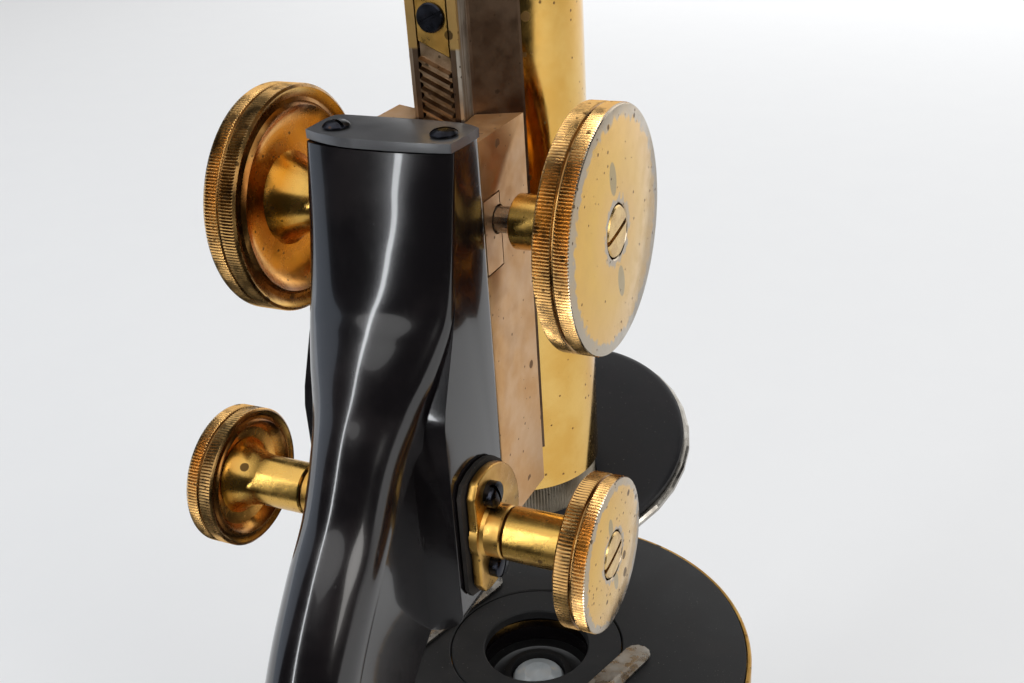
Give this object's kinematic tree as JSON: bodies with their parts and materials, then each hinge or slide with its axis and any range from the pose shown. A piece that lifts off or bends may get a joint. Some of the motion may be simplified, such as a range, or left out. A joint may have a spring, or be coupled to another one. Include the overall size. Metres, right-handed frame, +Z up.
{
  "type": "compound microscope",
  "caption": "Antique brass and black-lacquer compound microscope: handled limb, knurled focus knobs, helical rack, round stage, turret nosepiece and horseshoe foot.",
  "frame": {"origin": "centre of the bounding box at the underside of the horseshoe foot", "axes": "+Z up, +Y from the limb towards the body tube, +X towards the right-hand focusing knobs"},
  "size_m": [0.1062, 0.1814, 0.3329],
  "materials": {
    "black_lacquer": "glossy baked black lacquer",
    "matte_black": "matte charcoal",
    "aged_brass": "aged lacquered brass, worn and spotted",
    "polished_brass": "polished lacquered brass",
    "satin_brass": "satin worn brass",
    "blued_steel": "blued",
    "dark_steel": "browned with bright edges",
    "nickel": "worn nickel plate",
    "lens_glass": "clear polished",
    "silvered_glass": "silvered"
  },
  "bodies": {
    "base": {"horseshoe_foot": "black_lacquer", "pillar": "black_lacquer"},
    "limb": {"limb": "black_lacquer", "limb_cap": "black_lacquer", "cap_screw_left": "blued_steel", "cap_screw_right": "blued_steel", "gasket_left": "matte_black", "gasket_right": "matte_black", "fine_flange_left": "aged_brass", "fine_flange_right": "aged_brass", "flange_screw_upper_left": "blued_steel", "flange_screw_lower_left": "blued_steel", "flange_screw_upper_right": "blued_steel", "flange_screw_lower_right": "blued_steel", "stage_bracket": "black_lacquer", "tailpiece": "black_lacquer", "incline_axle": "dark_steel"},
    "clamp_lever": {"clamp_lever": "aged_brass"},
    "fine_drive": {"fine_shaft": "dark_steel", "fine_knob_left": "aged_brass", "fine_knob_right": "aged_brass", "fine_knob_screw_left": "aged_brass", "fine_knob_screw_right": "aged_brass"},
    "fine_block": {"slide_block": "satin_brass", "pinion_plate_left": "satin_brass", "pinion_plate_right": "satin_brass"},
    "coarse_drive": {"coarse_pinion": "dark_steel", "coarse_knob_left": "aged_brass", "coarse_knob_right": "aged_brass", "coarse_knob_screw_left": "aged_brass", "coarse_knob_screw_right": "aged_brass"},
    "tube_carrier": {"dovetail_bar": "aged_brass", "rack": "dark_steel", "rack_keeper": "aged_brass", "rack_screw": "blued_steel", "body_tube": "polished_brass", "tube_collar": "aged_brass", "nosepiece_ring": "nickel", "nosepiece_shell": "matte_black"},
    "draw_tube": {"draw_tube": "nickel"},
    "eyepiece": {"eyepiece_body": "black_lacquer", "eyepiece_lens": "lens_glass"},
    "turret": {"nosepiece_turret": "nickel", "objective_high": "aged_brass", "objective_low": "aged_brass"},
    "stage": {"stage_rim": "aged_brass", "stage_plate": "matte_black", "stage_insert": "matte_black"},
    "clip_left": {"stage_clip_left": "nickel"},
    "clip_right": {"stage_clip_right": "nickel"},
    "condenser": {"condenser_carrier": "aged_brass", "condenser_body": "nickel", "condenser_lens": "lens_glass"},
    "iris": {"iris_lever": "aged_brass"},
    "substage_pinion": {"substage_knob": "aged_brass"},
    "mirror_fork": {"mirror_fork": "aged_brass"},
    "mirror": {"mirror": "silvered_glass"}
  },
  "joints": [
    {"name": "inclination", "type": "hinge", "parent": "base", "child": "limb", "pos_m": [0, -0.037, 0.079], "axis": [1, 0, 0], "range_deg": [0, 75]},
    {"name": "clamp_lever_turn", "type": "hinge", "parent": "base", "child": "clamp_lever", "pos_m": [0, -0.037, 0.079], "axis": [1, 0, 0], "range_deg": [-35, 60]},
    {"name": "fine_turn", "type": "hinge", "parent": "limb", "child": "fine_drive", "pos_m": [0, -0.0198, 0.1865], "axis": [1, 0, 0], "range_deg": [-1620.5, 1620.5]},
    {"name": "fine_focus", "type": "slide", "parent": "limb", "child": "fine_block", "axis": [0, 0, 1], "range_m": [-0.0009, 0.0009]},
    {"name": "coarse_turn", "type": "hinge", "parent": "fine_block", "child": "coarse_drive", "pos_m": [0, 0.001, 0.239], "axis": [1, 0, 0], "range_deg": [-14.75, 553.28]},
    {"name": "coarse_focus", "type": "slide", "parent": "fine_block", "child": "tube_carrier", "axis": [0, 0, 1], "range_m": [-0.00121, 0.04501]},
    {"name": "draw_tube_slide", "type": "slide", "parent": "tube_carrier", "child": "draw_tube", "axis": [0, 0, 1], "range_m": [0, 0.06]},
    {"name": "eyepiece_lift", "type": "slide", "parent": "draw_tube", "child": "eyepiece", "axis": [0, 0, 1], "range_m": [0, 0.036]},
    {"name": "nosepiece_turn", "type": "hinge", "parent": "tube_carrier", "child": "turret", "pos_m": [0, 0.0494, 0.1628], "axis": [0, -0.342, 0.9397], "continuous": true},
    {"name": "stage_turn", "type": "hinge", "parent": "limb", "child": "stage", "pos_m": [0, 0.0313, 0.1133], "axis": [0, 0, 1], "continuous": true},
    {"name": "clip_left_turn", "type": "hinge", "parent": "stage", "child": "clip_left", "pos_m": [-0.03175, 0.01128, 0.1133], "axis": [0, 0, 1], "range_deg": [-25, 40]},
    {"name": "clip_right_turn", "type": "hinge", "parent": "stage", "child": "clip_right", "pos_m": [0.01439, -0.00196, 0.1133], "axis": [0, 0, 1], "range_deg": [-40, 25]},
    {"name": "substage_turn", "type": "hinge", "parent": "limb", "child": "substage_pinion", "pos_m": [0, -0.011, 0.09], "axis": [1, 0, 0], "range_deg": [-191.2, 76.6]},
    {"name": "condenser_focus", "type": "slide", "parent": "limb", "child": "condenser", "axis": [0, 0, 1], "range_m": [-0.01, 0.004]},
    {"name": "iris_turn", "type": "hinge", "parent": "condenser", "child": "iris", "pos_m": [0, 0.0313, 0.0838], "axis": [0, 0, 1], "range_deg": [-30, 30]},
    {"name": "mirror_swing", "type": "hinge", "parent": "limb", "child": "mirror_fork", "pos_m": [0, -0.0077, 0.043], "axis": [0, 1, 0], "range_deg": [-50, 50]},
    {"name": "mirror_tilt", "type": "hinge", "parent": "mirror_fork", "child": "mirror", "pos_m": [0, 0.0313, 0.043], "axis": [1, 0, 0], "continuous": true}
  ],
  "couplings": [
    {"joint": "fine_turn", "follows": "fine_focus", "rad_per_m": 31416},
    {"joint": "coarse_focus", "follows": "coarse_turn", "m_per_rad": 0.0046601},
    {"joint": "substage_turn", "follows": "condenser_focus", "rad_per_m": 333.33}
  ]
}
